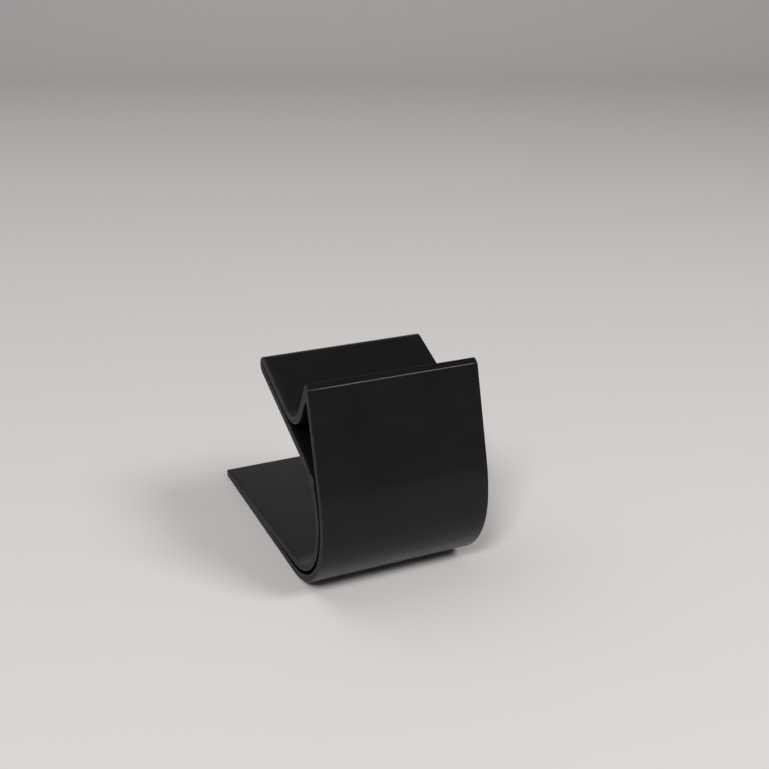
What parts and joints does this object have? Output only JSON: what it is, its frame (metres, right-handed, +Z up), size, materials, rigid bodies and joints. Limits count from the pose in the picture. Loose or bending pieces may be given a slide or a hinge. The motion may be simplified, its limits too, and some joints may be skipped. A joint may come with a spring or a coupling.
{
  "type": "game controller stand",
  "caption": "Desk stand bent from one strip: a leaning front panel with a lip, a round cradle behind it, a rising support plate and a long flat base.",
  "frame": {"origin": "on the table, in the middle of the stand's footprint", "axes": "+Z up, -Y towards the front panel and the viewer, X along the width of the strip"},
  "size_m": [0.05, 0.0926, 0.0646],
  "materials": {
    "body": "matt near-black moulded plastic with a fine texture"
  },
  "bodies": {
    "root": {"stand": "body"}
  },
  "joints": []
}
